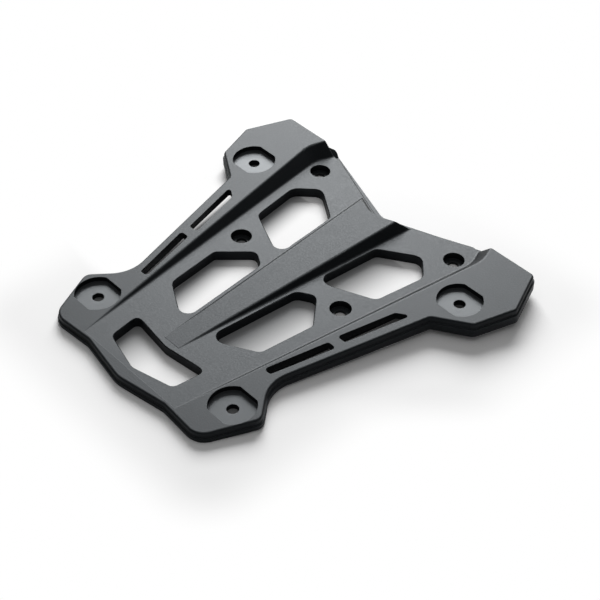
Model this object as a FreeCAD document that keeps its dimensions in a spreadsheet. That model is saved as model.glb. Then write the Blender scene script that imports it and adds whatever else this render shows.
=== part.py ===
"""Top case bracket: a one-piece aluminium carrier plate for a motorcycle tail rack.

The plate is modelled on its deck plane (z = 0, x across, y towards the rear) and then
leaned by the rake, so that the finished part lies flat on its mounting face: +Z up,
+Y to the rear, origin in the mounting face midway between the four rack screws.
"""
import FreeCAD, Part
import math
import os
import Sketcher

Vector = FreeCAD.Vector
Placement = FreeCAD.Placement
Rotation = FreeCAD.Rotation

# Driving sizes in millimetres and degrees: name, value, what it measures.
SIZES = [
    # outline of the deck, right half, sharp corners
    ("notch_y", 32.0, "bottom of the rear notch"),
    ("notch_round", 16.0, "rounding of the notch bottom"),
    ("root_x", 77.8, "notch mouth, half width"),
    ("rear_y", 64.3, "rear edge of the wings"),
    ("root_round", 6.0, "corner of the notch mouth"),
    ("tip_rear_land", 2.9, "rear corner of the wing tip, outside the cup's rim"),
    ("tip_rear_round", 4.0, "its rounding"),
    ("tip_land", 19.1, "widest corner of the wing tip, outside the cup's rim"),
    ("tip_y", 24.1, "its distance from the rear cups"),
    ("tip_round", 5.0, "its rounding"),
    ("tip_front_land", 7.4, "front corner of the wing tip, outside the cup's rim"),
    ("tip_front_y", 12.3, "its distance ahead of the rear cups"),
    ("tip_front_round", 6.0, "its rounding"),
    ("neck_inset", 3.1, "corner where wing and rail meet, inside the cup's middle"),
    ("neck_reach", 12.0, "its distance ahead of the rear cup's rim"),
    ("neck_round", 5.0, "its rounding"),
    ("waist_x", 81.8, "narrowest place of the rail"),
    ("waist_back", 34.1, "its distance behind the front cups"),
    ("waist_round", 30.0, "its rounding"),
    ("foot_land", 6.3, "outer corner of the front foot, outside the cup's rim"),
    ("foot_back", 6.5, "its distance behind the front cups"),
    ("foot_round", 8.0, "its rounding"),
    ("toe_inset", 13.7, "front corner of the front foot, inside the cup's rim"),
    ("toe_reach", 19.9, "its distance ahead of the cup's rim"),
    ("toe_round", 15.0, "its rounding"),
    ("chin_x", 45.1, "dip of the front edge"),
    ("chin_reach", 35.5, "its distance ahead of the front cups"),
    ("chin_round", 12.0, "its rounding"),
    ("nose_reach", 43.5, "middle of the front edge, ahead of the front cups"),
    ("nose_round", 30.0, "its rounding"),
    # section of the stepped edge
    ("deck_thickness", 6.3, "plate of the wings and rails"),
    ("ledge_depth", 5.25, "deck to the ledge in the edge"),
    ("ledge_step", 1.2, "how far the lower edge stands out"),
    ("tier_fill", 4.2, "how much less deep the notch is in the lower edge"),
    ("tier_mouth_x", 89.5, "corner of the lower edge at the notch mouth, half width"),
    ("tier_mouth_reach", 4.8, "its distance behind the wings' rear edge"),
    ("tier_mouth_round", 2.0, "its rounding"),
    ("tier_return", 4.0, "width over which it comes back to the rear edge"),
    ("tier_return_round", 1.5, "rounding of that inner corner"),
    ("ledge_bevel", 0.5, "bevelled outer corner of the ledge"),
    ("edge_round", 1.8, "rounding between deck and edge"),
    ("rim_wall", 5.0, "rim round the hollow underside"),
    ("rim_front_depth", 8.3, "deck to the bottom of the rim at the nose"),
    ("rim_rear_depth", 14.0, "deck to the bottom of the rim at the rear edge"),
    # sunk centre panel
    ("rake", 2.217, "slope of the panel against the deck"),
    ("rise_reach", 35.1, "where the panel comes up to the deck, ahead of the front cups"),
    ("panel_thickness", 8.7, "panel to mounting face"),
    ("wing_edge_x", 94.0, "upper edge of the panel's side wall at the rear cups"),
    ("wing_edge_land", 2.02, "deck left between that wall and the front cup's rim"),
    ("wing_bend_y", 47.0, "where the side wall turns in"),
    ("wing_bend_splay", 0.339, "its turn inwards per millimetre to the rear"),
    ("wing_bend_round", 30.0, "radius of that turn"),
    ("wing_wall_angle", 46.0, "slope of the side wall"),
    ("wing_wall_round", 3.0, "its upper and lower rounding"),
    ("wing_wall_back", 2.0, "solid behind the upper edge of the wall"),
    ("fade_height", 0.1, "where a fading wall is ended"),
    ("notch_ledge_depth", 3.5, "panel to the ledge along the notch"),
    # raised centre strip
    ("strip_drop", 1.6, "deck to the top of the strip"),
    ("strip_edge_x", 18.4, "half width of the strip at the rear cups"),
    ("strip_edge_splay", 0.054, "its growth per millimetre to the rear"),
    ("strip_wall_angle", 52.0, "slope of its sides"),
    ("strip_wall_round", 3.0, "upper and lower rounding of its sides"),
    ("strip_tail_angle", 56.0, "slope of its rear end"),
    ("strip_tail_ledge", 2.1, "panel left between strip and notch"),
    # rear window, right hand
    ("rear_window_a_x", 27.1, "inner rear corner"),
    ("rear_window_a_y", 2.1, "inner rear corner"),
    ("rear_window_a_round", 6.0, "inner rear corner"),
    ("rear_window_b_x", 58.9, "rear corner"),
    ("rear_window_b_y", 23.1, "rear corner"),
    ("rear_window_b_round", 8.0, "rear corner"),
    ("rear_window_c_x", 76.6, "outer rear corner"),
    ("rear_window_c_y", 5.4, "outer rear corner"),
    ("rear_window_c_round", 10.0, "outer rear corner"),
    ("rear_window_d_x", 69.8, "outer front corner"),
    ("rear_window_d_y", 41.1, "outer front corner, ahead of the rear cups"),
    ("rear_window_d_round", 8.0, "outer front corner"),
    ("rear_window_e_x", 21.6, "inner front corner"),
    ("rear_window_e_y", 62.7, "inner front corner, ahead of the rear cups"),
    ("rear_window_e_round", 8.0, "inner front corner"),
    # front window, right hand
    ("front_window_a_x", 21.1, "inner rear corner"),
    ("front_window_a_y", 82.3, "inner rear corner"),
    ("front_window_a_round", 8.0, "inner rear corner"),
    ("front_window_b_x", 35.4, "rear corner"),
    ("front_window_b_y", 73.8, "rear corner"),
    ("front_window_b_round", 6.0, "rear corner"),
    ("front_window_c_x", 58.0, "outer rear corner"),
    ("front_window_c_y", 99.3, "outer rear corner"),
    ("front_window_c_round", 4.0, "outer rear corner"),
    ("front_window_d_x", 52.5, "outer front corner"),
    ("front_window_d_y", 148.4, "outer front corner"),
    ("front_window_d_round", 8.0, "outer front corner"),
    ("front_window_e_x", 13.6, "inner front corner"),
    ("front_window_e_y", 170.7, "inner front corner"),
    ("front_window_e_round", 8.0, "inner front corner"),
    # hand slot across the nose
    ("nose_window_rear_back", 2.5, "middle of its rear edge, behind the front cups"),
    ("nose_window_rear_round", 20.0, "middle of its rear edge"),
    ("nose_window_side_x", 40.0, "rear corner"),
    ("nose_window_side_back", 7.7, "rear corner, behind the front cups"),
    ("nose_window_side_round", 4.0, "rear corner"),
    ("nose_window_front_x", 36.2, "front corner"),
    ("nose_window_front_reach", 20.1, "front corner, ahead of the front cups"),
    ("nose_window_front_round", 6.0, "front corner"),
    ("nose_window_nose_reach", 29.3, "middle of its front edge, ahead of the front cups"),
    ("nose_window_nose_round", 10.0, "middle of its front edge"),
    ("window_bevel", 0.6, "bevel of the windows' upper edges"),
    # slots in the rails, right hand
    ("slot_rear_outer_y", 39.8, "rear slot, outer rear corner"),
    ("slot_rear_wall", 8.48, "rail left outside that corner"),
    ("slot_rear_inner_y", 46.8, "rear slot, inner rear corner"),
    ("slot_rear_width", 9.08, "rear slot across the plate at that corner"),
    ("slot_rear_inner_round", 4.0, "rear slot, inner rear corner"),
    ("slot_end_round", 2.0, "tight corners of the slots"),
    ("slot_bridge_rear_y", 97.3, "rear side of the bridge between the slots"),
    ("slot_bridge_rear_wall", 8.43, "rail left outside the rear slot there"),
    ("slot_bridge_round", 2.5, "corners at the bridge"),
    ("slot_width", 8.5, "slot width across the plate at the bridge"),
    ("slot_bridge_front_y", 106.3, "front side of the bridge"),
    ("slot_bridge_front_wall", 6.49, "rail left outside the front slot there"),
    ("slot_front_back", 40.2, "front end of the front slot, behind the front cups"),
    ("slot_front_wall", 6.69, "rail left outside the slot there"),
    ("slot_front_width", 7.3, "slot width at its front end"),
    ("slot_front_round", 3.0, "front slot, inner front corner"),
    # cups that take the feet of the case
    ("cup_rear_x", 120.3, "rear cups, half spacing"),
    ("cup_front_x", 80.2, "front cups, half spacing"),
    ("cup_front_y", 200.7, "front cups ahead of the rear cups"),
    ("cup_diameter", 37.0, "cup"),
    ("cup_flats", 32.0, "across the flats of the cup"),
    ("cup_depth", 4.5, "cup"),
    ("cup_hole_diameter", 9.5, "hole in the cup"),
    ("boss_diameter", 40.0, "boss under the cup"),
    ("boss_depth", 10.0, "deck to the underside of the boss"),
    # screws into the rack
    ("screw_rear_x", 78.6, "rear screws, half spacing"),
    ("screw_rear_y", 39.9, "rear screws behind the rear cups"),
    ("screw_front_x", 58.5, "front screws, half spacing"),
    ("screw_front_y", 69.7, "front screws ahead of the rear cups"),
    ("screw_bore", 9.0, "screw clearance"),
    ("screw_head_bore", 17.6, "counterbore for the screw head"),
    ("screw_head_depth", 6.0, "depth of the counterbore"),
    # reach of the cutting profiles past the plate
    ("above", 6.0, "cutting profiles above the deck"),
    ("outside", 40.0, "cutting profiles past the outline"),
]

LEAST_CHANGE = 0.001  # cubic millimetres that any feature adds or removes
TOUCH = 0.001  # distance within which a point lies on a line or face
EASE = 0.98  # share of the steepest slope that two roundings leave to a low wall
BEND_STEPS = 3  # equal steps between the sections along the side wall's bend
LOW_WALL = 0.8  # share of its rounding to which the strip's side has sunk at its last bend

DOC = FreeCAD.newDocument("TopCaseBracket")


class Size:
    """A length or angle with the sheet expression that gives it."""

    def __init__(self, value, text):
        self.value = float(value)
        self.text = text

    @staticmethod
    def of(other):
        return other if isinstance(other, Size) else Size(other, repr(float(other)))

    def __add__(self, other):
        other = Size.of(other)
        return Size(self.value + other.value, "(%s + %s)" % (self.text, other.text))

    def __sub__(self, other):
        other = Size.of(other)
        return Size(self.value - other.value, "(%s - %s)" % (self.text, other.text))

    def __mul__(self, other):
        other = Size.of(other)
        return Size(self.value * other.value, "%s * %s" % (self.text, other.text))

    def __truediv__(self, other):
        other = Size.of(other)
        return Size(self.value / other.value, "%s / (%s)" % (self.text, other.text))

    def __neg__(self):
        return Size(-self.value, "(-1 * %s)" % self.text)


def sine(angle):
    return Size(math.sin(math.radians(angle.value)), "sin(%s)" % angle.text)


def cosine(angle):
    return Size(math.cos(math.radians(angle.value)), "cos(%s)" % angle.text)


def tangent(angle):
    return Size(math.tan(math.radians(angle.value)), "tan(%s)" % angle.text)


def angle_of(slope):
    return Size(math.degrees(math.atan(slope.value)), "atan(%s)" % slope.text)


def root(number):
    return Size(math.sqrt(number.value), "sqrt(%s)" % number.text)


def make_sheet():
    sheet = DOC.addObject("Spreadsheet::Sheet", "Sizes")
    for row, (name, value, meaning) in enumerate(SIZES, start=1):
        sheet.set("A%d" % row, str(value))
        sheet.setAlias("A%d" % row, name)
        sheet.set("B%d" % row, meaning)
    DOC.recompute()
    return {name: Size(value, "Sizes." + name) for name, value, meaning in SIZES}


S = make_sheet()
ZERO = Size(0, "0")

BODY = DOC.addObject("PartDesign::Body", "BracketPlate")
BODY.Label = "bracket_plate"
DOC.recompute()


def origin_plane(role):
    return next(f for f in BODY.Origin.OriginFeatures if f.Role == role)


def new_sketch(name, role="XY_Plane", base=None, lean=None):
    """A sketch on one of the body's planes, moved by base and leaned about its X axis."""
    sketch = BODY.newObject("Sketcher::SketchObject", name)
    sketch.AttachmentSupport = [(origin_plane(role), "")]
    sketch.MapMode = "FlatFace"
    if base is not None:
        angle = lean.value if lean is not None else 0.0
        sketch.AttachmentOffset = Placement(Vector(0, 0, base.value), Rotation(Vector(1, 0, 0), angle))
        sketch.setExpression("AttachmentOffset.Base.z", base.text)
        if lean is not None:
            sketch.setExpression("AttachmentOffset.Rotation.Angle", lean.text)
    return sketch


class Constrainer:
    """Adds constraints to a sketch and binds the measured ones to the sheet."""

    def __init__(self, sketch):
        self.sketch = sketch

    def add(self, *args):
        return self.sketch.addConstraint(Sketcher.Constraint(*args))

    def measure(self, kind, *args, size):
        value = math.radians(size.value) if kind == "Angle" else size.value
        index = self.add(kind, *args, value)
        text = "(%s) * 1 deg" % size.text if kind == "Angle" else size.text
        self.sketch.setExpression("Constraints[%d]" % index, text)

    def place(self, geometry, vertex, x, y):
        """Fixes a point by its distances from the sketch origin."""
        if x is ZERO:
            self.add("PointOnObject", geometry, vertex, -2)
        else:
            self.measure("DistanceX", -1, 1, geometry, vertex, size=x)
        self.measure("DistanceY", -1, 1, geometry, vertex, size=y)


def rounded_loop(sketch, corners, mirrored=False):
    """Closed loop of straight sides through sharp corners (x, y, radius).

    A mirrored loop is given by its right half, starting and ending on the Y axis.
    """
    marks = []
    if mirrored:
        left = [(-x, y, r) for x, y, r in reversed(corners[1:-1])]
        loop = list(corners) + left
        pairs = {len(corners) + i: len(corners) - 2 - i for i in range(len(left))}
    else:
        loop = list(corners)
        pairs = {}
    count = len(loop)
    points = [Vector(x.value, y.value, 0) for x, y, r in loop]
    rig = Constrainer(sketch)
    ends = []
    arcs = []
    for i in range(count):
        corner = points[i]
        before = (points[i - 1] - corner).normalize()
        after = (points[(i + 1) % count] - corner).normalize()
        radius = loop[i][2]
        mark = sketch.addGeometry(Part.Point(corner), True)
        marks.append(mark)
        if radius is None:
            ends.append((corner, corner))
            arcs.append(None)
            continue
        half = before.getAngle(after) / 2
        reach = radius.value / math.tan(half)
        start = corner + before * reach
        end = corner + after * reach
        centre = corner + (before + after).normalize() * (radius.value / math.sin(half))
        turns_left = before.cross(after).z < 0
        first, last = (start, end) if turns_left else (end, start)
        a = math.atan2(first.y - centre.y, first.x - centre.x)
        b = math.atan2(last.y - centre.y, last.x - centre.x)
        circle = Part.Circle(centre, Vector(0, 0, 1), radius.value)
        index = sketch.addGeometry(Part.ArcOfCircle(circle, a, b))
        arcs.append((index, 1, 2) if turns_left else (index, 2, 1))
        ends.append((start, end))
    lines = []
    for i in range(count):
        side = Part.LineSegment(ends[i][1], ends[(i + 1) % count][0])
        lines.append(sketch.addGeometry(side))
    for i in range(count):
        incoming, outgoing = lines[i - 1], lines[i]
        if arcs[i] is None:
            rig.add("Coincident", incoming, 2, outgoing, 1)
            rig.add("Coincident", marks[i], 1, incoming, 2)
        else:
            arc, arc_in, arc_out = arcs[i]
            rig.add("Tangent", incoming, 2, arc, arc_in)
            rig.add("Tangent", arc, arc_out, outgoing, 1)
            rig.add("PointOnObject", marks[i], 1, incoming)
            rig.add("PointOnObject", marks[i], 1, outgoing)
        x, y, radius = loop[i]
        if i in pairs:
            rig.add("Symmetric", marks[pairs[i]], 1, marks[i], 1, -2)
            if radius is not None:
                rig.add("Equal", arcs[pairs[i]][0], arcs[i][0])
        else:
            rig.place(marks[i], 1, x, y)
            if radius is not None:
                rig.measure("Radius", arcs[i][0], size=radius)
    return sketch


def recompute_and_check(feature, before=None, removes=None):
    """Recomputes and stops at a failed feature or one that changed nothing."""
    DOC.recompute()
    bad = [word for word in feature.State if word in ("Invalid", "Error")]
    if bad or feature.Shape.isNull() or not feature.Shape.Solids:
        raise RuntimeError("%s failed: %s" % (feature.Name, feature.State))
    if before is not None:
        change = feature.Shape.Volume - before
        if (removes and change > -LEAST_CHANGE) or (removes is False and change < LEAST_CHANGE):
            raise RuntimeError("%s changed nothing" % feature.Name)
    return feature


def extrude(kind, name, profile, length=None, reverse=False):
    """A Pad or Pocket of a profile, through everything where no length is given."""
    before = BODY.Tip.Shape.Volume if BODY.Tip is not None else 0.0
    feature = BODY.newObject("PartDesign::" + kind, name)
    feature.Profile = profile
    feature.Reversed = reverse
    if length is None:
        feature.Type = "ThroughAll"
    else:
        feature.Length = length.value
        feature.setExpression("Length", length.text)
    return recompute_and_check(feature, before, kind == "Pocket")


def offset_of(name, sketch, distance):
    """The area inside the sketch's loop once that is offset outwards by a distance."""
    binder = BODY.newObject("PartDesign::SubShapeBinder", name)
    binder.Support = [(sketch, [""])]
    binder.Offset = distance.value
    binder.setExpression("Offset", distance.text)
    binder.OffsetJoinType = "Intersection"
    binder.MakeFace = True
    DOC.recompute()
    return binder


def mirror(name, features):
    """Repeats features on the other side of the YZ plane."""
    feature = BODY.newObject("PartDesign::Mirrored", name)
    feature.Originals = features
    feature.MirrorPlane = (origin_plane("YZ_Plane"), [""])
    BODY.Tip = feature
    return recompute_and_check(feature)


def edges_where(shape, test):
    """Names of the edges whose middle passes a test."""
    names = []
    for number, edge in enumerate(shape.Edges, start=1):
        middle = edge.valueAt((edge.FirstParameter + edge.LastParameter) / 2)
        if test(edge, middle):
            names.append("Edge%d" % number)
    return names


def dress(kind, name, test, size):
    """A Fillet or Chamfer on the edges of the tip that pass a test."""
    base = BODY.Tip
    names = edges_where(base.Shape, test)
    if not names:
        raise RuntimeError("%s found no edges" % name)
    feature = BODY.newObject("PartDesign::" + kind, name)
    feature.Base = (base, names)
    target = "Radius" if kind == "Fillet" else "Size"
    setattr(feature, target, size.value)
    feature.setExpression(target, size.text)
    return recompute_and_check(feature)


# Places that follow the cups.
CUP_RADIUS = S["cup_diameter"] / 2
REAR_RIM_X = S["cup_rear_x"] + CUP_RADIUS
FRONT_RIM_X = S["cup_front_x"] + CUP_RADIUS
NECK = (S["cup_rear_x"] - S["neck_inset"], -(CUP_RADIUS + S["neck_reach"]))
WAIST = (S["waist_x"], -(S["cup_front_y"] - S["waist_back"]))
NOSE_Y = S["cup_front_y"] + S["nose_reach"]
RISE_Y = S["cup_front_y"] + S["rise_reach"]

# Heights below the deck, as they run with y.
SLOPE = tangent(S["rake"])


def panel_drop(y):
    """Depth of the panel below the deck at y."""
    return SLOPE * (RISE_Y + y)


PANEL_BASE = -panel_drop(ZERO)
FACE_BASE = PANEL_BASE - S["panel_thickness"] / cosine(S["rake"])
NOTCH_SLOPE = (S["rear_y"] - S["notch_y"]) / S["root_x"]
NOTCH_LEAN = angle_of(NOTCH_SLOPE)
FULL_DEPTH = panel_drop(S["rear_y"]) + S["panel_thickness"] + S["above"]


def on_panel(name, below=None):
    """A sketch in the panel's plane, or parallel to it and lower."""
    base = PANEL_BASE if below is None else PANEL_BASE - below / cosine(S["rake"])
    return new_sketch(name, "XY_Plane", base, -S["rake"])


def outline_from(mouth):
    """Corners of the plate seen from above, with those of the notch given."""
    return mouth + [
        (REAR_RIM_X + S["tip_rear_land"], S["rear_y"], S["tip_rear_round"]),
        (REAR_RIM_X + S["tip_land"], S["tip_y"], S["tip_round"]),
        (REAR_RIM_X + S["tip_front_land"], -S["tip_front_y"], S["tip_front_round"]),
        (NECK[0], NECK[1], S["neck_round"]),
        (WAIST[0], WAIST[1], S["waist_round"]),
        (FRONT_RIM_X + S["foot_land"], -(S["cup_front_y"] - S["foot_back"]), S["foot_round"]),
        (FRONT_RIM_X - S["toe_inset"], -(S["cup_front_y"] + CUP_RADIUS + S["toe_reach"]), S["toe_round"]),
        (S["chin_x"], -(S["cup_front_y"] + S["chin_reach"]), S["chin_round"]),
        (ZERO, -NOSE_Y, S["nose_round"]),
    ]


# Deck outline, seen from above.
OUTLINE = rounded_loop(new_sketch("deck_outline"), outline_from([
    (ZERO, S["notch_y"], S["notch_round"]),
    (S["root_x"], S["rear_y"], S["root_round"]),
]), mirrored=True)

# Lower tier of the edge: a rim that stands out by the ledge step, and further along the notch.
TIER = rounded_loop(new_sketch("tier_outline"), outline_from([
    (ZERO, S["notch_y"] + S["tier_fill"], S["notch_round"]),
    (S["tier_mouth_x"], S["rear_y"] + S["tier_mouth_reach"], S["tier_mouth_round"]),
    (S["tier_mouth_x"] + S["tier_return"], S["rear_y"], S["tier_return_round"]),
]), mirrored=True)
DOC.recompute()
FLANGE_OUTLINE = offset_of("flange_outline", TIER, S["ledge_step"])
extrude("Pad", "flange", FLANGE_OUTLINE, FULL_DEPTH, reverse=True)
extrude("Pocket", "flange_top", FLANGE_OUTLINE, S["ledge_depth"])
dress("Chamfer", "ledge_corner",
      lambda edge, mid: abs(mid.z + S["ledge_depth"].value) < TOUCH, S["ledge_bevel"])
extrude("Pocket", "underside_hollow", offset_of("hollow_outline", OUTLINE, -S["rim_wall"]))


# The upper edge of the panel's side wall runs from beside the front cups to the bend.
WING_SPLAY = (S["wing_edge_x"] - (S["cup_front_x"] - CUP_RADIUS - S["wing_edge_land"])) / S["cup_front_y"]


def wing_edge(y):
    """Upper edge of the panel's side wall, ahead of its bend."""
    return S["wing_edge_x"] + WING_SPLAY * y


BEND_X = wing_edge(S["wing_bend_y"])


def wing_edge_behind(y):
    """The same edge behind its bend."""
    return BEND_X - S["wing_bend_splay"] * (y - S["wing_bend_y"])


# Along the notch the ledge follows the sunk panel instead of the deck.
BEHIND = S["rear_y"] + S["outside"]
RELIEF_TOP_X = wing_edge_behind(S["rear_y"])
RELIEF_FOOT_X = RELIEF_TOP_X - panel_drop(S["rear_y"]) / tangent(S["wing_wall_angle"])
RELIEF_FOOT = -(panel_drop(BEHIND) + S["notch_ledge_depth"])
RELIEF = rounded_loop(new_sketch("notch_relief_section", "XZ_Plane", -BEHIND, -S["rake"]), [
    (ZERO, RELIEF_FOOT, None),
    (RELIEF_FOOT_X, RELIEF_FOOT, None),
    (RELIEF_TOP_X, -(S["ledge_depth"] + SLOPE * S["outside"]), None),
    (RELIEF_TOP_X, S["above"], None),
    (ZERO, S["above"], None),
], mirrored=True)
extrude("Pocket", "notch_relief", RELIEF, BEHIND, reverse=True)

# The deck plate and the thick middle that carries the panel and the mounting face.
extrude("Pad", "deck", OUTLINE, S["deck_thickness"], reverse=True)
MIDDLE_FRONT = -(S["cup_front_y"] + S["chin_reach"] - S["rim_wall"] / 2)
MIDDLE_BACK_X = wing_edge_behind(S["rear_y"]) + S["wing_wall_back"]
MIDDLE_BEND_X = BEND_X + S["wing_wall_back"]
MIDDLE = rounded_loop(new_sketch("middle_outline"), [
    (ZERO, S["notch_y"], S["notch_round"]),
    (S["root_x"], S["rear_y"], S["root_round"]),
    (MIDDLE_BACK_X, S["rear_y"], None),
    (MIDDLE_BEND_X, S["wing_bend_y"], None),
    (wing_edge(MIDDLE_FRONT) + S["wing_wall_back"], MIDDLE_FRONT, None),
    (ZERO, MIDDLE_FRONT, None),
], mirrored=True)
extrude("Pad", "middle", MIDDLE, FULL_DEPTH, reverse=True)

# Bosses that carry the cups, inside the hollow.
BOSS_TOP = (S["ledge_depth"] + S["deck_thickness"]) / 2


def circles(sketch, places, diameter):
    """Circles of one diameter, the first one dimensioned and the others equal."""
    rig = Constrainer(sketch)
    first = None
    for x, y in places:
        circle = Part.Circle(Vector(x.value, y.value, 0), Vector(0, 0, 1), diameter.value / 2)
        index = sketch.addGeometry(circle)
        rig.place(index, 3, x, y)
        if first is None:
            first = index
            rig.measure("Diameter", index, size=diameter)
        else:
            rig.add("Equal", first, index)
    return sketch


CUPS = [(S["cup_rear_x"], ZERO), (S["cup_front_x"], -S["cup_front_y"])]
SCREWS = [(S["screw_rear_x"], S["screw_rear_y"]), (S["screw_front_x"], -S["screw_front_y"])]
BOSSES = circles(new_sketch("boss_circles", "XY_Plane", -BOSS_TOP), CUPS, S["boss_diameter"])
extrude("Pad", "bosses_right", BOSSES, S["boss_depth"] - BOSS_TOP, reverse=True)
mirror("bosses", [BODY.Tip])

# Underside: the rim rises to the nose, the middle ends in the flat mounting face.
RIM_SLOPE = (S["rim_rear_depth"] - S["rim_front_depth"]) / (S["rear_y"] + NOSE_Y)
RIM_BASE = -(S["rim_front_depth"] + RIM_SLOPE * NOSE_Y)
AHEAD = -(NOSE_Y + S["outside"])
BESIDE = REAR_RIM_X + S["tip_land"] + S["outside"]
RIM_CUT = rounded_loop(new_sketch("rim_bottom", "XY_Plane", RIM_BASE, -angle_of(RIM_SLOPE)), [
    (wing_edge(AHEAD) + S["wing_wall_back"], AHEAD, None),
    (BESIDE, AHEAD, None),
    (BESIDE, BEHIND, None),
    (wing_edge_behind(BEHIND) + S["wing_wall_back"], BEHIND, None),
    (MIDDLE_BEND_X, S["wing_bend_y"], None),
])
extrude("Pocket", "rim_underside_right", RIM_CUT, FULL_DEPTH)
mirror("rim_underside", [BODY.Tip])
FACE_CUT = rounded_loop(on_panel("mounting_plane", S["panel_thickness"]), [
    (ZERO, AHEAD, None),
    (BESIDE, AHEAD, None),
    (BESIDE, BEHIND, None),
    (ZERO, BEHIND, None),
], mirrored=True)
extrude("Pocket", "mounting_face", FACE_CUT, FULL_DEPTH)


def limited_angle(angle, height, rounds):
    """Wall slope, eased where the wall is too low for its two roundings."""
    ratio = max(1 - height.value / rounds.value, 0.0)
    value = min(angle.value, EASE * math.degrees(math.acos(ratio)))
    text = "min(%s; %s * acos(max(1 - %s / (%s); 0)) / 1 deg)" % (
        angle.text, EASE, height.text, rounds.text)
    return Size(value, text)


def arc(centre, radius, first, last):
    circle = Part.Circle(Vector(centre[0], centre[1], 0), Vector(0, 0, 1), radius)
    return Part.ArcOfCircle(circle, math.radians(first), math.radians(last))


def line(x1, y1, x2, y2):
    return Part.LineSegment(Vector(x1, y1, 0), Vector(x2, y2, 0))


def valley_section(name, y, edge_x, with_strip):
    """Right half of what is cut away above the panel, across the plate at y.

    The side wall falls from the deck to the panel with a rounding above and below,
    and the raised strip in the middle rises from the panel in the same way.
    """
    sketch = new_sketch(name, "XZ_Plane", -y)
    rig = Constrainer(sketch)
    drop = panel_drop(y)
    ring = S["wing_wall_round"]
    slope = limited_angle(S["wing_wall_angle"], drop, ring * 2)
    side_x = edge_x + ring * tangent(slope / 2)
    angle = slope.value
    radius = ring.value
    top = S["above"].value
    depth = drop.value
    turn = radius * math.sin(math.radians(angle))
    rise = radius * (1 - math.cos(math.radians(angle)))
    side = side_x.value
    foot = edge_x.value - depth / math.tan(math.radians(angle)) - radius * math.tan(math.radians(angle / 2))
    roof = sketch.addGeometry(line(0, top, side, top))
    flank = sketch.addGeometry(line(side, top, side, 0))
    upper = sketch.addGeometry(arc((side, -radius), radius, 90, 90 + angle))
    wall = sketch.addGeometry(line(foot + turn, rise - depth, side - turn, -rise))
    lower = sketch.addGeometry(arc((foot, radius - depth), radius, 270, 270 + angle))
    rig.add("Coincident", roof, 2, flank, 1)
    rig.add("Coincident", flank, 2, upper, 1)
    rig.add("Tangent", upper, 2, wall, 2)
    rig.add("Tangent", wall, 1, lower, 2)
    rig.add("Horizontal", roof)
    rig.add("Vertical", flank)
    rig.add("PointOnObject", roof, 1, -2)
    rig.measure("DistanceY", -1, 1, roof, 1, size=S["above"])
    rig.add("PointOnObject", upper, 1, -1)
    rig.add("Vertical", upper, 1, upper, 3)
    rig.measure("Radius", upper, size=ring)
    rig.measure("Radius", lower, size=ring)
    rig.measure("Angle", wall, size=slope)
    rig.measure("DistanceX", -1, 1, upper, 1, size=side_x)
    if not with_strip:
        floor = sketch.addGeometry(line(0, -depth, foot, -depth))
        axis = sketch.addGeometry(line(0, -depth, 0, top))
        rig.add("Tangent", lower, 1, floor, 2)
        rig.add("Coincident", floor, 1, axis, 1)
        rig.add("Coincident", axis, 2, roof, 1)
        rig.add("Horizontal", floor)
        rig.add("Vertical", axis)
        rig.measure("DistanceY", -1, 1, floor, 1, size=-drop)
        return sketch
    ring = S["strip_wall_round"]
    height = drop - S["strip_drop"]
    slope = limited_angle(S["strip_wall_angle"], height, ring * 2)
    strip_x = S["strip_edge_x"] + S["strip_edge_splay"] * y
    crown_x = strip_x - ring * tangent(slope / 2)
    angle = slope.value
    radius = ring.value
    turn = radius * math.sin(math.radians(angle))
    rise = radius * (1 - math.cos(math.radians(angle)))
    crown = crown_x.value
    head = S["strip_drop"].value
    toe = strip_x.value + height.value / math.tan(math.radians(angle)) \
        + radius * math.tan(math.radians(angle / 2))
    floor = sketch.addGeometry(line(toe, -depth, foot, -depth))
    strip_lower = sketch.addGeometry(arc((toe, radius - depth), radius, 270 - angle, 270))
    strip_wall = sketch.addGeometry(line(crown + turn, -head - rise, toe - turn, rise - depth))
    strip_upper = sketch.addGeometry(arc((crown, -head - radius), radius, 90 - angle, 90))
    strip_top = sketch.addGeometry(line(0, -head, crown, -head))
    axis = sketch.addGeometry(line(0, -head, 0, top))
    rig.add("Tangent", lower, 1, floor, 2)
    rig.add("Tangent", floor, 1, strip_lower, 2)
    rig.add("Tangent", strip_lower, 1, strip_wall, 2)
    rig.add("Tangent", strip_wall, 1, strip_upper, 1)
    rig.add("Tangent", strip_upper, 2, strip_top, 2)
    rig.add("Coincident", strip_top, 1, axis, 1)
    rig.add("Coincident", axis, 2, roof, 1)
    rig.add("Horizontal", floor)
    rig.add("Horizontal", strip_top)
    rig.add("Vertical", axis)
    rig.measure("DistanceY", -1, 1, floor, 2, size=-drop)
    rig.measure("DistanceY", -1, 1, strip_top, 2, size=-S["strip_drop"])
    rig.measure("Radius", strip_lower, size=ring)
    rig.measure("Radius", strip_upper, size=ring)
    rig.measure("Angle", strip_wall, size=-slope)
    rig.measure("DistanceX", -1, 1, strip_upper, 2, size=crown_x)
    return sketch


def cut_loft(name, sections, ruled=True):
    before = BODY.Tip.Shape.Volume
    feature = BODY.newObject("PartDesign::SubtractiveLoft", name)
    feature.Profile = sections[0]
    feature.Sections = sections[1:]
    feature.Ruled = ruled
    return recompute_and_check(feature, before, True)


# The side wall turns in near the rear edge, on an arc between two straight runs.
RUN_IN = angle_of(WING_SPLAY)
RUN_OUT = angle_of(S["wing_bend_splay"])
BEND = S["wing_bend_round"]
BEND_START_Y = S["wing_bend_y"] - BEND * tangent((RUN_IN + RUN_OUT) / 2) * cosine(RUN_IN)
BEND_CENTRE_X = wing_edge(BEND_START_Y) - BEND * cosine(RUN_IN)
BEND_CENTRE_Y = BEND_START_Y + BEND * sine(RUN_IN)
BEND_END_Y = BEND_CENTRE_Y + BEND * sine(RUN_OUT)


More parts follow.
